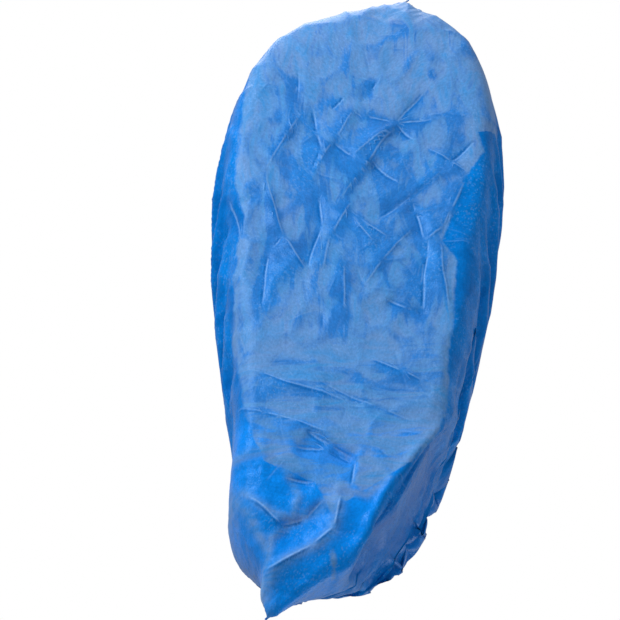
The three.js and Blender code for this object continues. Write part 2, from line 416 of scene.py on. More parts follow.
def settled_film():
    """The sheet in its worn form, first on a coarse grid and then on the full one."""
    angle, level = laid_grid(ALONG, HALF_ACROSS)
    form = smooth_form(angle, level)
    out = normals_of(form)
    fields = np.concatenate([form, out, angle[..., None], level[..., None]], -1)
    points = None
    stages = [(118, 49, 260), (ALONG, HALF_ACROSS, 130)]
    for along, half_across, steps in stages:
        part = coarser(fields, along, half_across)
        f, o = part[..., :3], part[..., 3:6]
        o = o / np.maximum(np.linalg.norm(o, axis=-1, keepdims=True), 1e-9)
        lowest, highest, slide = slack_limits(part[..., 6], part[..., 7])
        spacing = (BLANK_LENGTH / (along - 1), BLANK_HALF / (half_across - 1))
        hem = []
        for row, inner, seed in ((0, 1, 11), (-1, -2, 31)):
            up = f[:, row] - f[:, inner]
            up /= np.maximum(np.linalg.norm(up, axis=-1, keepdims=True), 1e-9)
            hem.append(ruffled_hem(f[:, row], o[:, row], up, seed))
        if points is None:
            run = np.linspace(0, BLANK_LENGTH, along)[:, None]
            across = np.linspace(-BLANK_HALF, BLANK_HALF, 2 * half_across - 1)[None, :]
            share = np.abs(across) / BLANK_HALF
            wave = np.zeros((along, 2 * half_across - 1))
            for _ in range(SLACK_WAVES):
                length = 12 + 46 * rng.random()
                lean = rng.normal() * 0.35
                size = share ** (3.2 - 2.6 * (length / 58))
                wave += size * np.cos(
                    2 * math.pi * (run + lean * np.abs(across)) / length
                    + 6.3 * rng.random()
                    + (across > 0) * 1.7
                )
            points = f + o * (0.3 * wave + 0.15 * rng.normal(size=wave.shape))[..., None]
        else:
            points = coarser(points, along, half_across)
        relax(points, f, o, lowest, highest, slide, hem, spacing, steps)
    points = points + (form - points) * tautness(angle, level)[..., None]
    for end, step in ((0, 1), (-1, -1)):  # a weld is stiffer than the film, so its line is smooth
        line = points[end].copy()
        for _ in range(WELD_PASSES):
            line[1:-1] = (line[:-2] + 2 * line[1:-1] + line[2:]) / 4
        shift = line - points[end]
        for k, share in enumerate(WELD_SHARES):
            points[end + k * step] += share * shift
    return points, angle, level


# ---------------------------------------------------------------- creases in the film

# The creases that show most under the foot, in mm from the origin. lift is how far
# one stands out, below zero where it is pressed in. sharp is its half width.
CREASES = table(
    "x0 y0 x1 y1 lift sharp",
    (-30, -91, -47, -59, 0.8, 1.8),
    (-24, -94, -19, -68, -0.9, 1.6),
    (-19, -68, -27, -47, -0.8, 1.6),
    (-3, -92, -14, -73, 1.0, 1.8),
    (-14, -73, -27, -47, 1.1, 1.8),
    (-13, -73, -4, -64, -1.0, 2.0),
    (18, -83, -3, -65, 1.1, 1.8),
    (18, -82, -8, -41, 1.2, 2.0),
    (-2, -92, 17, -87, -0.9, 1.8),
    (17, -87, 38, -88, -0.9, 1.6),
    (19, -87, 34, -105, -1.0, 2.0),
    (20, -85, 27, -76, -0.9, 1.6),
    (36, -68, 54, -56, 0.9, 1.6),
    (36, -49, 11, -27, -1.1, 2.2),
    (40, -53, 16, -33, 0.8, 1.8),
    (59, -73, 46, -60, -0.9, 1.6),
    (7, -61, 19, -49, -0.8, 1.5),
    (-4, -29, 14, -14, 0.9, 1.6),
    (-4, -27, 8, -8, 0.7, 1.6),
    (27, -35, 32, -15, -1.6, 2.0),
    (53, -47, 42, -21, 0.9, 1.8),
    (42, -21, 33, -14, 0.9, 1.8),
    (-48, -52, -39, -16, 0.8, 1.8),
    (-39, -16, -46, -7, -1.1, 1.8),
    (-46, -7, -49, 24, -1.1, 2.0),
    (-39, -15, -27, 4, 0.9, 1.8),
    (-21, -42, -19, -22, -0.9, 1.8),
    (-19, -22, -26, 3, -0.9, 1.8),
    (-5, -35, -15, -15, 1.0, 2.2),
    (-15, -15, -19, 4, 1.0, 2.2),
    (25, -19, 1, 14, 0.6, 1.8),
    (-31, -117, -31, -99, -0.6, 1.6),
    (-8, -101, -14, -94, -0.7, 1.6),
    (11, -113, 2, -99, -0.8, 1.8),
    (-67, -40, -60, -15, -0.9, 2.0),
    (34, -14, 30, 30, -0.8, 2.6),
    (40, -10, 44, 28, 0.8, 2.4),
    (-8, 0, -9, 44, 0.7, 3.0),
    (14, 22, 22, 27, -1.0, 1.8),
    (22, 27, 33, 31, -1.0, 1.8),
    (6, 57, 28, 69, 0.7, 2.0),
    (-54, 63, -9, 79, 0.6, 2.4),
    (-58, 83, -17, 97, 0.6, 2.4),
    (-20, 70, 22, 90, -0.5, 2.4),
    (-26, 97, -15, 104, -1.3, 1.6),
    (-15, 104, -4, 111, -1.3, 1.6),
    (-31, 105, -17, 106, -1.1, 1.6),
    (-17, 106, -4, 112, -1.2, 1.6),
    (-3, 111, -5, 125, -0.8, 1.6),
    (-36, 122, -24, 124, -1.8, 2.0),
    (-53, 133, -39, 145, 1.4, 3.0),
    (-39, 145, -27, 142, -1.4, 2.4),
    (-27, 142, -19, 134, -1.4, 2.4),
    (-45, 167, -23, 155, 2.0, 3.0),
    (-23, 155, -13, 147, 2.0, 3.0),
    (-13, 147, -11, 133, 1.8, 3.0),
    (-45, 167, -46, 186, 1.2, 2.4),
)

# Places where the slack film stands off the shoe's sole, in mm.
POCKETS = table(
    "x y long wide turn lift",
    (-7, -59, 11, 7, 60, 1.0),
    (-8, -30, 17, 5, 105, 0.9),
    (-20, -38, 10, 4, 95, 0.6),
    (-29, -46, 7, 4, 80, 0.6),
    (-36, 4, 14, 5, 100, 0.8),
    (-46, 12, 22, 5, 95, 0.9),
    (30, -22, 10, 3, 85, 1.0),
    (34, 8, 24, 6, 95, 0.9),
    (-12, 16, 20, 4, 90, 0.6),
    (12, 10, 16, 5, 70, 0.5),
    (19, -66, 9, 5, 20, 0.6),
    (-30, 60, 16, 4, 10, 0.5),
    (4, 72, 18, 4, 25, 0.5),
    (-33, 130, 12, 9, 60, 1.6),
)

# The film touches the shoe's sole between these edges, by distance along it, in mm.
CONTACT = table(
    "y left right",
    (-190, -52, 60),
    (-150, -52, 62),
    (-126, -56, 70),
    (-94, -60, 73),
    (-84, -61, 72),
    (-80, -61, 62),
    (-69, -61, 65),
    (-57, -62, 56),
    (-44, -62, 51),
    (-28, -59, 47),
    (-13, -61, 41),
    (0, -62, 49),
    (22, -64, 47),
    (57, -61, 43),
    (85, -57, 40),
    (100, -52, 34),
    (113, -47, 25),
    (124, -22, 8),
    (134, -18, -6),
    (142, -14, -14),
)

# The edge of the slack flap at the heel, whose far side lies deeper, in mm.
FLAP_EDGE = table(
    "x y",
    (48, 78),
    (34, 101),
    (21, 117),
    (11, 133),
    (3, 150),
    (-5, 163),
    (-13, 172),
    (-23, 178),
    (-35, 184),
    (-47, 193),
)

# Soft ridges on the flap that look milky, partly from painted sheen, point by point: x, y and half
# width, in mm.
MILKY_SHEEN_RIDGES = table(
    "width lift points",
    (
        2.2,
        1.5,
        [
            (-12, 128),
            (-12, 140),
            (-14, 148),
            (-20, 154),
            (-30, 159),
            (-41, 166),
            (-45, 174),
            (-46, 186),
        ],
    ),
    (1.8, 0.9, [(-60, 110), (-48, 108), (-37, 112), (-30, 117)]),
    (1.6, 0.8, [(-38, 112), (-30, 132), (-34, 144), (-44, 152), (-45, 166)]),
    (2.0, 0.8, [(-57, 128), (-50, 136), (-42, 140), (-33, 143), (-22, 138), (-14, 132)]),
    (1.6, 0.7, [(-12, 128), (2, 131), (12, 122)]),
    (1.8, 1.0, [(-66, 118), (-60, 130), (-52, 142), (-46, 158)]),
)


CREASE_STRENGTH = 2.0  # of the placed creases' lifts
FLAP_STEP = 6.0  # how far the film steps in beyond the flap's edge
TAIL_IN, TAIL_OUT = 6.0, 4.5  # and is drawn in and out behind the tail


def to_segment(x, y, x0, y0, x1, y1):
    """Distance off a segment, signed by side, and the share along it."""
    dx, dy = x1 - x0, y1 - y0
    length = math.hypot(dx, dy)
    share = ((x - x0) * dx + (y - y0) * dy) / length**2
    near = np.clip(share, 0, 1)
    distance = np.hypot(x - (x0 + near * dx), y - (y0 + near * dy))
    side = np.sign((x - x0) * dy - (y - y0) * dx)
    return distance * np.where(side == 0, 1, side), share


def pressed(x, y, crease):
    """A crease's height: sharp on one side, and easing off like a facet on the other."""
    off, share = to_segment(x, y, crease["x0"], crease["y0"], crease["x1"], crease["y1"])
    sharp = max(crease["sharp"], 2.1)
    width = np.where(off > 0, sharp, sharp * 3.2)
    return crease["lift"] * np.exp(-np.abs(off) / width) * tapered(share)


def tapered(share):
    """A crease's strength by the share along it: full in the middle, gone past its ends."""
    return np.exp(-((np.abs(share - 0.5) / 0.5) ** 4))


def strayed(x, y, size):
    """x and y with a slow wander added, so that no crease is dead straight."""
    dx = np.sin(x / 6.1 + 1.3 * np.sin(y / 8.3)) + 0.6 * np.sin(y / 3.7 + x / 7.0 + 1.0)
    dy = np.sin(y / 5.3 + 1.2 * np.sin(x / 7.1) + 2.0) + 0.6 * np.sin(x / 4.1 - y / 6.0)
    return x + size * dx, y + size * dy


def facets(x, y, count, seed, span, reach):
    """Crumpled facets: up to 1 well inside each, down to 0 along the ridges between."""
    r = np.random.default_rng(seed)
    first = np.full_like(x, 1e9)
    second = np.full_like(x, 1e9)
    for _ in range(count):
        away = np.hypot(x - r.uniform(*span[0]), 0.75 * (y - r.uniform(*span[1])))
        second = np.minimum(second, np.maximum(first, away))
        first = np.minimum(first, away)
    return np.clip((second - first) / reach, 0, 1)


def chance_creases(count, seed, span, lean):
    """Small creases strewn over the flat blank, mostly along a lean, in its own mm."""
    r = np.random.default_rng(seed)
    found = []
    for _ in range(count):
        x, y = r.uniform(*span[0]), r.uniform(*span[1])
        way = math.radians(r.choice(lean) + r.normal() * 16)
        length = 5 + 17 * r.random() ** 1.6
        found.append(
            {
                "x0": x - length * math.cos(way) / 2,
                "y0": y - length * math.sin(way) / 2,
                "x1": x + length * math.cos(way) / 2,
                "y1": y + length * math.sin(way) / 2,
                "lift": r.choice([-1, 1]) * (0.12 + 0.26 * r.random()),
                "sharp": 0.9 + 0.9 * r.random(),
            }
        )
    return found


def to_line(x, y, points):
    """Distance off a line of points, positive to the right of the way it runs."""
    off = np.full_like(x, 1e9)
    for (x0, y0), (x1, y1) in zip(points, points[1:]):
        here, _ = to_segment(x, y, x0, y0, x1, y1)
        off = np.where(np.abs(here) < np.abs(off), here, off)
    return off


def creased(points, angle, level):
    """Presses the creases in. Returns the points and what the film's look follows."""
    out = normals_of(points, passes=6)
    x, y = points[..., 0], points[..., 1]
    under = 1 - smoothstep(level, 3.6, 4.8)
    run = np.linspace(0, BLANK_LENGTH, ALONG)[:, None] + 0 * level
    across = np.linspace(-BLANK_HALF, BLANK_HALF, 2 * HALF_ACROSS - 1)[None, :] + 0 * level

    left = np.interp(y, [c["y"] for c in CONTACT], [c["left"] for c in CONTACT])
    right = np.interp(y, [c["y"] for c in CONTACT], [c["right"] for c in CONTACT])
    inside = np.minimum(x - left, right - x)
    inside = np.clip(np.minimum(inside, 9 * (3.5 - level)), -8, 8)

    x, y = strayed(x, y, 0.35)
    crumpled = facets(x, y, 120, 17, ((-75, 75), (-175, 150)), 11.0)
    height = 1.3 * (0.4 - np.sqrt(crumpled)) * under
    slack = 0.3 * (1 - smoothstep(crumpled, 0.0, 0.5))
    nearest = np.full_like(x, 9.0)
    second = np.full_like(x, 9.0)
    firm = np.zeros_like(x)

    def press(crease, u, v, mask, share):
        """Adds one crease to the relief and to the nearest crease's distance."""
        nonlocal height, slack, nearest, second, firm
        height = height + share * pressed(u, v, crease) * mask
        off, along = to_segment(u, v, crease["x0"], crease["y0"], crease["x1"], crease["y1"])
        ends = tapered(along)
        size = min(1.0, abs(crease["lift"]) * min(share, 1.4))
        wide = np.where(off > 0, 1.4, 6.5)
        slack = 1 - (1 - slack) * (1 - 0.75 * size * ends * mask * np.exp(-np.abs(off) / wide))
        closer = (np.abs(off) < np.abs(nearest)) & (mask > 0.3)
        second = np.where(
            closer, np.abs(nearest), np.where(mask > 0.3, np.minimum(second, np.abs(off)), second)
        )
        nearest = np.where(closer, off, nearest)
        firm = np.where(closer, math.copysign(size, crease["lift"]) * ends, firm)

    for crease in chance_creases(120, 3, ((-62, 66), (-150, 130)), (-58, 58, 90, 10)):
        press(crease, x, y, under, 1.0)
    for crease in chance_creases(
        260, 5, ((0, BLANK_LENGTH), (-BLANK_HALF, BLANK_HALF)), (90, 90, 60, 120, 20)
    ):
        press(crease, run, across, 1 - under, 1.3)
    for crease in CREASES:
        press(crease, x, y, under, CREASE_STRENGTH)
    # Two creases' lines fade where they run together.
    firm = firm * (1 - smoothstep(np.abs(nearest), 1.4, 2.3)) * smoothstep(
        second - np.abs(nearest), 0.2, 1.6
    )

    lifted = np.zeros_like(x)
    for p in POCKETS:
        c, s = math.cos(math.radians(p["turn"])), math.sin(math.radians(p["turn"]))
        u = ((x - p["x"]) * c + (y - p["y"]) * s) / p["long"]
        v = ((y - p["y"]) * c - (x - p["x"]) * s) / p["wide"]
        lifted += p["lift"] * np.exp(-((u * u + v * v) ** 1.2)) * under
    height += 0.6 * lifted
    slack = 1 - (1 - slack) * (1 - np.clip(0.85 * lifted, 0, 0.9))

    # Beyond the flap's edge the film is drawn back towards the hem, in long gathers.
    beyond = to_line(x, y, [(e["x"], e["y"]) for e in FLAP_EDGE])
    low = 1 - smoothstep(level, 4.2, 6.2)
    back = smoothstep(y, 80, 100)
    step = smoothstep(beyond, -0.4, 2.2) * (1 - 0.6 * smoothstep(beyond, 8, 40))
    stepped = -FLAP_STEP * step * low * back
    height += 2.0 * np.exp(-(((beyond + 2.2) / 2.4) ** 2)) * low * back
    far = smoothstep(beyond, 5, 14) * back * (1 - smoothstep(level, 6.6, 7.6))
    gathers = np.sin(
        2 * math.pi * beyond / 10.5 + 1.1 * np.sin(y / 17.0) + 0.8 * np.sin(x / 9.0 + 1.0)
    )
    height += far * (0.9 * gathers + 0.45 * np.sin(2 * math.pi * beyond / 4.9 + y / 8.0))

    # Behind the tail it is drawn in on one side and stands out a little on the other.
    upper = smoothstep(level, 2.6, 4.8) * (1 - smoothstep(level, 6.0, 7.9))
    drawn = -TAIL_IN * np.exp(-((turn(2.68, angle) / 0.4) ** 2)) * upper
    drawn += TAIL_OUT * np.exp(-((turn(-2.62, angle) / 0.2) ** 2)) * upper

    # Milky streaks along the flap's ridges, partly painted sheen.
    milky_sheen = np.zeros_like(x)
    flap = back * (1 - smoothstep(beyond, -4, 0)) * (1 - smoothstep(level, 4.2, 5.6))
    for ridge in MILKY_SHEEN_RIDGES:
        off = -to_line(x, y, ridge["points"])
        reach = np.where(off > 0, ridge["width"], 2.4 * ridge["width"])
        height += ridge["lift"] * np.exp(-np.abs(off) / reach) * flap
        milky_sheen = np.maximum(milky_sheen, 0.8 * np.exp(-((off / (1.25 * ridge["width"])) ** 2)) * flap)

    inside = np.minimum(inside, np.where(back > 0.02, -0.8 * beyond - 4 * back + 4, 8))
    # The painted shade behind the flap also covers a band right beyond its edge.
    far = np.maximum(far, smoothstep(beyond, 0.3, 2.5) * back * (1 - smoothstep(level, 7.0, 7.8)))
    looks = {
        "inside": inside,
        "slack": slack,
        "milky_sheen": milky_sheen,
        "crease_off": np.clip(nearest, -4, 4),
        "crease_lift": firm,
        "shade": far,
        "flap": flap,
    }
    firmly = normals_of(smooth_form(angle, level))
    from_end = np.minimum(np.arange(ALONG), np.arange(ALONG)[::-1])[:, None]
    height = height * smoothstep(from_end, 0, 4)
    return points + out * height[..., None] + firmly * (drawn + stepped)[..., None], looks


def film_mesh(name, points, looks):
    """The sheet as a mesh, its two ends welded, with its flat place as its UV map."""
    along, across = points.shape[:2]
    number = np.arange(along * across).reshape(along, across)
    for end in (0, along - 1):
        number[end, : across // 2] = number[end, ::-1][: across // 2]
    a, b = number[:-1, :-1], number[1:, :-1]
    c, d = number[1:, 1:], number[:-1, 1:]
    quads = np.stack([a, b, c, d], -1).reshape(-1, 4)
    used, packed = np.unique(quads, return_inverse=True)
    packed = packed.reshape(-1, 4)
    flat = points.reshape(-1, 3)[used] * MM

    mesh = bpy.data.meshes.new(name)
    mesh.from_pydata(flat.tolist(), [], packed.tolist())
    i, j = np.meshgrid(np.arange(along - 1), np.arange(across - 1), indexing="ij")
    corners_i = np.stack([i, i + 1, i + 1, i], -1).reshape(-1)
    corners_j = np.stack([j, j, j + 1, j + 1], -1).reshape(-1)
    uv = np.stack(
        [corners_i * BLANK_LENGTH / (along - 1), corners_j * 2 * BLANK_HALF / (across - 1)], -1
    ) * MM
    mesh.uv_layers.new(name="blank").uv.foreach_set("vector", uv.ravel())
    for key, values in looks.items():
        mesh.attributes.new(key, "FLOAT", "POINT").data.foreach_set(
            "value", values.reshape(-1)[used].astype(np.float32)
        )
    mesh.shade_smooth()
    return mesh


def shown(name, mesh, slot, *nodes):
    """Puts a mesh in the scene as a piece on the cover's one body."""
    obj = bpy.data.objects.new(name, mesh)
    bpy.context.scene.collection.objects.link(obj)
    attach(obj, "root")
    if nodes:
        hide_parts(*nodes)
    return obj


# ---------------------------------------------------------------- materials

GLOSS = 0.16  # weak, as the emboss breaks the gloss up
PAINTED_GLINT = 0.2  # how strongly a painted glint on a pip of the emboss pales the film
SHEEN = "86c2ff"  # a blue tint on the gloss, matched
SHADE_BEHIND_FLAP = "0662b8"  # painted shade on the film drawn back behind the flap


def film_material(name, deep, hazy_and_sheen, see_through):
    """Blown CPE film with a fine emboss: deep blue where it hangs free, milky and lilac where it is
    pressed on the sole, partly as the pale sole seen through and partly as painted sheen, with a
    painted highlight along the sharp side of each crease, painted shade along its other side,
    painted glints on the emboss and painted shade behind the flap."""
    material = bpy.data.materials.new(name)
    material.use_nodes = True
    tree = material.node_tree
    tree.nodes.clear()
    math_node, ease, blend = "ShaderNodeMath", "ShaderNodeMapRange", "ShaderNodeMix"
    soft = "SMOOTHSTEP"
    uv = node(tree, "ShaderNodeUVMap", give="UV", uv_map="blank")
    place = node(tree, "ShaderNodeTexCoord", give="Object")
    looks = {
        key: node(tree, "ShaderNodeAttribute", give="Fac", attribute_name=key)
        for key in ("inside", "slack", "milky_sheen", "crease_off", "crease_lift", "shade", "flap")
    }

    # Cloudiness some 25 mm across, and streaks about 9 by 30 mm, which run along the
    # foot at the front and across it at the heel.
    cloud = node(
        tree,
        "ShaderNodeTexNoise",
        {"Vector": place, "Scale": 42.0, "Detail": 5.0, "Roughness": 0.62, "Distortion": 0.6},
        "Fac",
    )
    along_at = node(
        tree,
        "ShaderNodeMapping",
        {"Vector": place, "Scale": (110.0, 34.0, 60.0), "Rotation": (0, 0, 0.35)},
        "Vector",
    )
    along = node(
        tree,
        "ShaderNodeTexNoise",
        {"Vector": along_at, "Scale": 1.0, "Detail": 4.0, "Roughness": 0.65, "Distortion": 1.1},
        "Fac",
    )
    across_at = node(
        tree,
        "ShaderNodeMapping",
        {"Vector": place, "Scale": (26.0, 120.0, 60.0), "Rotation": (0, 0, -0.3)},
        "Vector",
    )
    across = node(
        tree,
        "ShaderNodeTexNoise",
        {"Vector": across_at, "Scale": 1.0, "Detail": 4.0, "Roughness": 0.65, "Distortion": 1.1},
        "Fac",
    )
    heelward = node(tree, "ShaderNodeSeparateXYZ", {0: place}, "Y")
    heelward = node(
        tree,
        ease,
        {"Value": heelward, "From Min": 0.03, "From Max": 0.065},
        "Result",
        interpolation_type=soft,
    )
    streaks = node(tree, blend, {0: heelward, 2: along, 3: across}, 0, data_type="FLOAT")

    # How milky, partly as the pale sole seen through and partly as painted sheen: inside the
    # pressed area's edge, less where the film is slack.
    edge = node(tree, math_node, {0: cloud, 1: 0.5}, 0, operation="SUBTRACT")
    edge = node(tree, math_node, {0: edge, 1: 9.0, 2: looks["inside"]}, 0, operation="MULTIPLY_ADD")
    held_and_sheen = node(
        tree,
        ease,
        {"Value": edge, "From Min": -0.9, "From Max": 1.1},
        "Result",
        interpolation_type=soft,
    )
    loose = node(tree, math_node, {0: streaks, 1: 0.5}, 0, operation="SUBTRACT")
    loose = node(
        tree, math_node, {0: loose, 1: 2.3, 2: looks["slack"]}, 0, operation="MULTIPLY_ADD"
    )
    loose = node(
        tree,
        ease,
        {"Value": loose, "From Min": 0.1, "From Max": 0.66},
        "Result",
        interpolation_type=soft,
    )
    left_milky_sheen = node(tree, math_node, {0: loose, 1: -0.82, 2: 1.0}, 0, operation="MULTIPLY_ADD")
    held_and_sheen = node(tree, math_node, {0: held_and_sheen, 1: left_milky_sheen}, 0, operation="MULTIPLY")
    streaked = {"Value": streaks, "From Min": 0.25, "From Max": 0.6, "To Min": 0.45, "To Max": 1.0}
    streaked = node(tree, ease, streaked, "Result", interpolation_type=soft)
    streaked = node(tree, math_node, {0: looks["milky_sheen"], 1: streaked}, 0, operation="MULTIPLY")
    held_and_sheen = node(tree, math_node, {0: held_and_sheen, 1: streaked}, 0, operation="MAXIMUM")

    # The creases' own lines, about 1 mm wide: a painted highlight on one side and painted shade on
    # the other.
    off = node(tree, math_node, {0: looks["crease_off"]}, 0, operation="ABSOLUTE")
    line = {"Value": off, "From Min": 0.0, "From Max": 1.5, "To Min": 1.0, "To Max": 0.0}
    line = node(tree, ease, line, "Result", interpolation_type=soft)
    ridge = node(tree, math_node, {0: line, 1: looks["crease_lift"]}, 0, operation="MULTIPLY")
    size = node(tree, math_node, {0: looks["crease_lift"]}, 0, operation="ABSOLUTE")
    painted_crease_light = []
    for shift, width, strength in ((-0.3, 0.8, 0.42), (0.9, 1.3, 0.75)):
        side = node(tree, math_node, {0: looks["crease_off"], 1: shift}, 0, operation="ADD")
        side = node(tree, math_node, {0: side}, 0, operation="ABSOLUTE")
        side = {"Value": side, "From Min": 0.0, "From Max": width, "To Min": 1.0, "To Max": 0.0}
        side = node(tree, ease, side, "Result", interpolation_type=soft)
        side = node(tree, math_node, {0: side, 1: size}, 0, operation="MULTIPLY")
        painted_crease_light.append(node(tree, math_node, {0: side, 1: strength}, 0, operation="MULTIPLY"))
    painted_crease_highlight, painted_crease_shade = painted_crease_light

    # The emboss: pips a little under a millimetre apart, some of which carry a painted glint.
    pips = node(
        tree,
        "ShaderNodeTexVoronoi",
        {"Vector": uv, "Scale": 1150.0, "Randomness": 0.75},
        feature="F1",
    )
    chance = node(tree, "ShaderNodeSeparateColor", {0: pips.outputs["Color"]}, 0)
    chance = node(
        tree,
        ease,
        {"Value": chance, "From Min": 0.72, "From Max": 0.98},
        "Result",
        interpolation_type=soft,
    )
    painted_glint_patches = node(
        tree,
        ease,
        {"Value": cloud, "From Min": 0.42, "From Max": 0.62},
        "Result",
        interpolation_type=soft,
    )
    painted_glint = node(tree, math_node, {0: chance, 1: painted_glint_patches}, 0, operation="MULTIPLY")
    painted_glint = node(tree, math_node, {0: painted_glint, 1: PAINTED_GLINT}, 0, operation="MULTIPLY")
    grain = node(
        tree,
        "ShaderNodeTexNoise",
        {"Vector": uv, "Scale": 620.0, "Detail": 3.0, "Roughness": 0.7},
        "Fac",
    )

    shade = node(
        tree,
        "ShaderNodeValToRGB",
        {"Fac": cloud},
        "Color",
        [(0.32, linear(deep[0])), (0.68, linear(deep[1]))],
    )
    milk_and_sheen = node(
        tree,
        "ShaderNodeValToRGB",
        {"Fac": streaks},
        "Color",
        [(0.3, linear(hazy_and_sheen[0])), (0.7, linear(hazy_and_sheen[1]))],
    )
    flap = {"Value": streaks, "From Min": 0.3, "From Max": 0.6, "To Min": 0.35, "To Max": 0.8}
    flap = node(tree, ease, flap, "Result", interpolation_type=soft)
    flap = node(tree, math_node, {0: looks["flap"], 1: flap}, 0, operation="MULTIPLY")
    # Painted shade on the film beyond the flap's edge.
    painted_flap_shade = {"Value": streaks, "From Min": 0.35, "From Max": 0.65, "To Min": 0.35, "To Max": 0.9}
    painted_flap_shade = node(tree, ease, painted_flap_shade, "Result", interpolation_type=soft)
    painted_flap_shade = node(tree, math_node, {0: looks["shade"], 1: painted_flap_shade}, 0, operation="MULTIPLY")

    # Each look is laid over those before it.
    colour = shade
    for share, over in (
        (flap, linear("058af0")),
        # the milky haze: partly the pale sole seen through, partly painted sheen
        (held_and_sheen, milk_and_sheen),
        # painted shade behind the flap
        (painted_flap_shade, linear(SHADE_BEHIND_FLAP)),
        # painted shade and a painted highlight along each crease
        (painted_crease_shade, linear(deep[0])),
        (painted_crease_highlight, linear("8fbdf0")),
        # painted glints on some pips of the emboss
        (painted_glint, linear("86b4ea")),
    ):
        colour = node(tree, blend, {0: share, 6: colour, 7: over}, 2, data_type="RGBA")

    # The emboss also speckles the colour, some 1.6 mm across so that it shows.
    speckle = {"Value": grain, "From Min": 0.32, "From Max": 0.68, "To Min": 0.9, "To Max": 1.1}
    speckle = node(tree, ease, speckle, "Result", interpolation_type=soft)
    colour = node(tree, "ShaderNodeVectorMath", {0: colour, "Scale": speckle}, 0, operation="SCALE")

    # Crumple of a few millimetres, then the creases, then the emboss, as relief.
    crumple = node(
        tree,
        "ShaderNodeTexVoronoi",
        {"Vector": uv, "Scale": 130.0, "Smoothness": 0.5},
        "Distance",
        feature="SMOOTH_F1",
    )
    relief = node(
        tree, "ShaderNodeBump", {"Height": crumple, "Strength": 0.5, "Distance": 0.0012}, "Normal"
    )
    relief = node(
        tree,
        "ShaderNodeBump",
        {"Height": ridge, "Strength": 0.55, "Distance": 0.0005, "Normal": relief},
        "Normal",
    )
    relief = node(
        tree,
        "ShaderNodeBump",
        {
            "Height": pips.outputs["Distance"],
            "Strength": 0.5,
            "Distance": 0.00016,
            "Normal": relief,
        },
        "Normal",
    )

    rough = node(
        tree,
        ease,
        {"Value": grain, "From Min": 0.3, "From Max": 0.7, "To Min": 0.24, "To Max": 0.38},
        "Result",
    )
    rough = node(tree, math_node, {0: held_and_sheen, 1: 0.1, 2: rough}, 0, operation="MULTIPLY_ADD")
    finish = {
        "Base Color": colour,
        "Roughness": rough,
        "Normal": relief,
        "IOR": 1.5,
        "Specular IOR Level": GLOSS,
        "Specular Tint": linear(SHEEN),
    }
    film = node(tree, "ShaderNodeBsdfPrincipled", finish, 0)
    glow = node(tree, "ShaderNodeBsdfTranslucent", {"Color": colour, "Normal": relief}, 0)
    mixed = node(tree, "ShaderNodeMixShader", {0: see_through, 1: film, 2: glow}, 0)
    node(tree, "ShaderNodeOutputMaterial", {"Surface": mixed})
    return material


def elastic_material():
    """White covered elastic: fine thread wound round it, a little yellowed and matt."""
    material = bpy.data.materials.new("white covered elastic")
    material.use_nodes = True
    tree = material.node_tree
    tree.nodes.clear()
    uv = node(tree, "ShaderNodeUVMap", give="UV", uv_map="wrap")
    turned = node(tree, "ShaderNodeMapping", {"Vector": uv, "Rotation": (0, 0, 0.5)}, "Vector")
    wound = node(
        tree,
        "ShaderNodeTexWave",
        {"Vector": turned, "Scale": 900.0, "Distortion": 0.6, "Detail": 1.0},
        "Fac",
        wave_type="BANDS",
    )
    uneven = node(tree, "ShaderNodeTexNoise", {"Vector": uv, "Scale": 140.0, "Detail": 3.0}, "Fac")
    colour = node(
        tree,
        "ShaderNodeValToRGB",
        {"Fac": uneven},
        "Color",
        [(0.3, linear("d7dde0")), (0.7, linear("f1f3f1"))],
    )
    relief = node(
        tree, "ShaderNodeBump", {"Height": wound, "Strength": 0.7, "Distance": 0.0002}, "Normal"
    )
    thread = node(
        tree,
        "ShaderNodeBsdfPrincipled",
        {"Base Color": colour, "Roughness": 0.75, "Normal": relief},
        0,
    )
    node(tree, "ShaderNodeOutputMaterial", {"Surface": thread})
    return material


FILM = film_material("embossed blue CPE film", ("0064b6", "007ed8"), ("3c8ace", "7495c6"), 0.16)
HEM_FILM = film_material("doubled blue CPE film", ("005cab", "0272c8"), ("2a7cc9", "4a8ed4"), 0.1)
ELASTIC = elastic_material()

# ---------------------------------------------------------------- the pieces

# Walls in mm. The film's real one is about 0.03 mm, and it is drawn ten times as thick.
FILM_WALL = 0.3
HEM_WALL = 0.25
WELD_WALL = 0.35

points, angle, level = settled_film()
points, looks = creased(points, angle, level)
film = film_mesh("film_sheet", points, looks)
film.materials.append(FILM)
film_obj = shown("film_sheet", film, "embossed_film", "film_body")
wall = film_obj.modifiers.new("film thickness", "SOLIDIFY")
wall.thickness = FILM_WALL * MM
wall.offset = -1


def tube_mesh(name, rings, uv_length, closed_section):
    """A mesh of section rings swept round a closed path, with a UV map in metres."""
    count, sides = rings.shape[:2]
    spans = sides if closed_section else sides - 1
    number = np.arange(count * sides).reshape(count, sides)
    i, j = np.meshgrid(np.arange(count), np.arange(spans), indexing="ij")
    after, beside = (i + 1) % count, (j + 1) % sides
    quads = np.stack(
        [number[i, j], number[after, j], number[after, beside], number[i, beside]], -1
    ).reshape(-1, 4)
    mesh = bpy.data.meshes.new(name)
    mesh.from_pydata((rings.reshape(-1, 3) * MM).tolist(), [], quads.tolist())
    u = np.stack([i, i + 1, i + 1, i], -1).reshape(-1) * uv_length[0] / count
    v = np.stack([j, j, j + 1, j + 1], -1).reshape(-1) * uv_length[1] / spans
    mesh.uv_layers.new(name="blank").uv.foreach_set("vector", (np.stack([u, v], -1) * MM).ravel())
    mesh.shade_smooth()
    return mesh


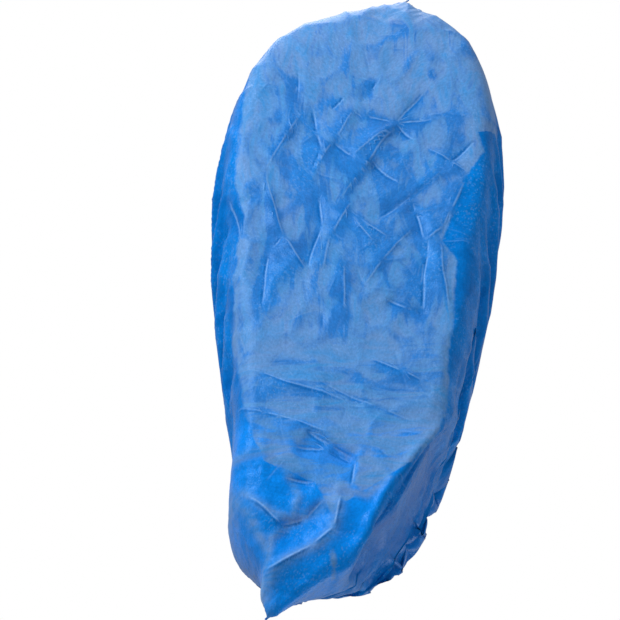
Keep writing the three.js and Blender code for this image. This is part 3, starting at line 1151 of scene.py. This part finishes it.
# Sizes in mm.
HEM_RADIUS = 3.0
HEM_PLEATS = 150
HEM_STEPS = 1200
HEM_SIDES = 13
HEM_OVERLAP = 16.0  # film rolled over the elastic
CORD_RADIUS = 0.9
CORD_SIDES = 10
CORD_MAP = (470.0, 5.6)  # the elastic's length and girth on its UV map

form = smooth_form(angle, level)
out = normals_of(form)
edge = np.concatenate([points[:, -1], points[::-1, 0]])
smooth_edge = np.concatenate([form[:, -1], form[::-1, 0]])
below = np.concatenate([form[:, -4], form[::-1, 3]])
edge_out = np.concatenate([out[:, -1], out[::-1, 0]])
rise = smooth_edge - below
rise /= np.linalg.norm(rise, axis=1, keepdims=True)
packed = np.concatenate([0.45 * edge + 0.55 * smooth_edge, rise, edge_out], 1)
keep = np.linalg.norm(np.diff(packed[:, :3], axis=0, append=packed[:1, :3]), axis=1) > 1e-4
packed = packed[keep]
run = np.concatenate(
    [
        [0],
        np.cumsum(
            np.linalg.norm(
                np.diff(np.concatenate([packed, packed[:1]])[:, :3], axis=0), axis=1
            )
        ),
    ]
)
at = np.linspace(0, run[-1], HEM_STEPS, endpoint=False)
hem = np.stack([np.interp(at, run, np.append(packed[:, k], packed[0, k])) for k in range(9)], 1)
centre, rise, away = hem[:, :3], hem[:, 3:6], hem[:, 6:]
for _ in range(6):
    rise = (np.roll(rise, 1, 0) + 2 * rise + np.roll(rise, -1, 0)) / 4
    away = (np.roll(away, 1, 0) + 2 * away + np.roll(away, -1, 0)) / 4
    centre = (np.roll(centre, 1, 0) + 2 * centre + np.roll(centre, -1, 0)) / 4
rise /= np.linalg.norm(rise, axis=1, keepdims=True)
away -= rise * (away * rise).sum(1, keepdims=True)
away /= np.linalg.norm(away, axis=1, keepdims=True)
centre = centre + rise * (HEM_RADIUS + 0.2)
round_share = np.arange(HEM_STEPS) / HEM_STEPS
phase = 2 * math.pi * HEM_PLEATS * round_share + 3.0 * np.interp(
    round_share,
    np.linspace(0, 1, 60),
    np.append(wander(59, 2, 51), 0) * np.sin(np.linspace(0, math.pi, 60)) ** 0.3,
)
size = 0.8 + 0.4 * np.interp(round_share, np.linspace(0, 1, 90), wander(90, 2, 52))
section = np.radians(np.linspace(-82, 232, HEM_SIDES))
rings = []
for k, a in enumerate(section):
    swing = phase + 0.55 * math.sin(2.1 * k) + 0.12 * k
    radius = (HEM_RADIUS + size * (0.5 * np.sin(swing) + 0.25 * np.sin(2 * swing + k)))[:, None]
    flare = 1.15 if k < 2 else 1.0
    rings.append(centre + radius * flare * math.cos(a) * away + radius * math.sin(a) * rise)
hem_mesh = tube_mesh("hem", np.stack(rings, 1), (2 * BLANK_LENGTH, HEM_OVERLAP), False)
hem_mesh.materials.append(HEM_FILM)
hem_obj = shown("gathered_hem", hem_mesh, "hem_film", "hem_tunnel")
hem_wall = hem_obj.modifiers.new("film thickness", "SOLIDIFY")
hem_wall.thickness = HEM_WALL * MM
hem_wall.offset = 0

cord = []
for k in range(CORD_SIDES):
    a = 2 * math.pi * k / CORD_SIDES
    cord.append(centre + CORD_RADIUS * math.cos(a) * away + CORD_RADIUS * math.sin(a) * rise)
cord_mesh = tube_mesh("elastic", np.stack(cord, 1)[::2], CORD_MAP, True)
cord_mesh.uv_layers[0].name = "wrap"
cord_mesh.materials.append(ELASTIC)
cord_obj = shown("elastic_cord_wrapped", cord_mesh, "white_elastic", "elastic_cord")

# ---------------------------------------------------------------- the welded ends

FIN = 2.6  # how far the weld's edge stands off the film
MARK_PITCH = 2.4  # between the marks of the hot bar
MARK_RADIUS = 0.34
MARK_LENGTH = 1.5


def hot_bar_marks(name, line, material):
    """The hot bar's marks along a weld: small pressed ribs, repeated by Geometry Nodes."""
    mesh = bpy.data.meshes.new(name)
    mesh.from_pydata((line * MM).tolist(), [(k, k + 1) for k in range(len(line) - 1)], [])
    obj = bpy.data.objects.new(name, mesh)
    bpy.context.scene.collection.objects.link(obj)
    group = bpy.data.node_groups.new(name, "GeometryNodeTree")
    group.interface.new_socket("Line", in_out="INPUT", socket_type="NodeSocketGeometry")
    group.interface.new_socket("Marks", in_out="OUTPUT", socket_type="NodeSocketGeometry")
    sizes = {
        "Pitch": MARK_PITCH * MM, "Rib Radius": MARK_RADIUS * MM, "Rib Length": MARK_LENGTH * MM
    }
    modifier = obj.modifiers.new("marks", "NODES")
    modifier.node_group = group
    for label, value in sizes.items():
        socket = group.interface.new_socket(label, in_out="INPUT", socket_type="NodeSocketFloat")
        modifier[socket.identifier] = value
    given = node(group, "NodeGroupInput").outputs
    curve = node(group, "GeometryNodeMeshToCurve", {"Mesh": given["Line"]}, "Curve")
    spots = node(
        group,
        "GeometryNodeCurveToPoints",
        {"Curve": curve, "Length": given["Pitch"]},
        mode="LENGTH",
    ).outputs
    rib = {
        "Vertices": 8,
        "Side Segments": 1,
        "Radius": given["Rib Radius"],
        "Depth": given["Rib Length"],
    }
    rib = node(group, "GeometryNodeMeshCylinder", rib, "Mesh")
    placed = {"Points": spots["Points"], "Instance": rib, "Rotation": spots["Rotation"]}
    placed = node(group, "GeometryNodeInstanceOnPoints", placed, "Instances")
    real = node(group, "GeometryNodeRealizeInstances", {"Geometry": placed}, "Geometry")
    coloured = node(
        group, "GeometryNodeSetMaterial", {"Geometry": real, "Material": material}, "Geometry"
    )
    node(group, "NodeGroupOutput", {"Marks": coloured})
    plain = bpy.data.meshes.new_from_object(
        obj.evaluated_get(bpy.context.evaluated_depsgraph_get())
    )
    bpy.data.objects.remove(obj)
    return plain


def welded_end(name, row, seed, slot, *nodes):
    """The flat edge left beyond a weld, from the corner up to the hem."""
    start = HALF_ACROSS - 1
    line = points[row, start:-2]
    beyond = line - (
        points[3 if row == 0 else -4, start:-2] + points[3 if row == 0 else -4, ::-1][start:-2]
    ) / 2
    for _ in range(8):
        beyond[1:-1] = (beyond[:-2] + 2 * beyond[1:-1] + beyond[2:]) / 4
    beyond /= np.maximum(np.linalg.norm(beyond, axis=1, keepdims=True), 1e-6)
    along = np.gradient(line, axis=0)
    along /= np.maximum(np.linalg.norm(along, axis=1, keepdims=True), 1e-6)
    side = np.cross(along, beyond)
    side /= np.maximum(np.linalg.norm(side, axis=1, keepdims=True), 1e-6)
    count = len(line)
    rows = []
    for k in range(4):
        reach = FIN * (k - 0.4) / 3
        ripple = 0.5 * (k / 3) * wander(count, 7, seed)
        rows.append(line + beyond * reach + side * ripple[:, None])
    grid = np.stack(rows, 1)
    number = np.arange(count * 4).reshape(count, 4)
    quads = np.stack(
        [number[:-1, :-1], number[1:, :-1], number[1:, 1:], number[:-1, 1:]], -1
    ).reshape(-1, 4)
    mesh = bpy.data.meshes.new(name)
    mesh.from_pydata((grid.reshape(-1, 3) * MM).tolist(), [], quads.tolist())
    uv = mesh.uv_layers.new(name="blank")
    flat = np.stack(
        np.meshgrid(np.linspace(0, BLANK_HALF, count), np.linspace(0, FIN, 4), indexing="ij"), -1
    ) * MM
    uv.uv.foreach_set("vector", flat.reshape(-1, 2)[quads.reshape(-1)].ravel())
    mesh.shade_smooth()
    mesh.materials.append(WELD_FILM)
    obj = bpy.data.objects.new(name, mesh)
    bpy.context.scene.collection.objects.link(obj)
    wall = obj.modifiers.new("film thickness", "SOLIDIFY")
    wall.thickness = WELD_WALL * MM
    wall.offset = 0
    solid = bpy.data.meshes.new_from_object(
        obj.evaluated_get(bpy.context.evaluated_depsgraph_get())
    )
    obj.modifiers.clear()
    marks = hot_bar_marks(name + "_marks", line + beyond * 0.9 + side * 0.18, WELD_FILM)
    joined = bmesh.new()
    joined.from_mesh(solid)
    joined.from_mesh(marks)
    result = bpy.data.meshes.new(name)
    joined.to_mesh(result)
    joined.free()
    result.materials.append(WELD_FILM)
    bpy.data.objects.remove(obj)
    return shown(name, result, slot, *nodes)


WELD_FILM = film_material("welded blue CPE film", ("0259ad", "0669c4"), ("2f78c8", "5a92d4"), 0.12)
toe_obj = welded_end("toe_weld_edge", 0, 61, "embossed_film", "toe_weld")
heel_obj = welded_end("heel_weld_edge", -1, 71, "embossed_film", "heel_weld")

# ---------------------------------------------------------------- floor and finish

FLOOR_SIZE = 60
FLOOR_DROP = 1.6  # below the sole, behind the camera that looks up at it

bpy.ops.mesh.primitive_plane_add(size=FLOOR_SIZE, location=(0, 0, -FLOOR_DROP))
floor = bpy.context.object
floor.name = "floor"
floor_finish = bpy.data.materials.new("pale studio floor")
floor_finish.use_nodes = True
floor_shader = floor_finish.node_tree.nodes["Principled BSDF"]
floor_shader.inputs["Base Color"].default_value = linear("eceef0")
floor_shader.inputs["Roughness"].default_value = 0.8
floor.data.materials.append(floor_finish)
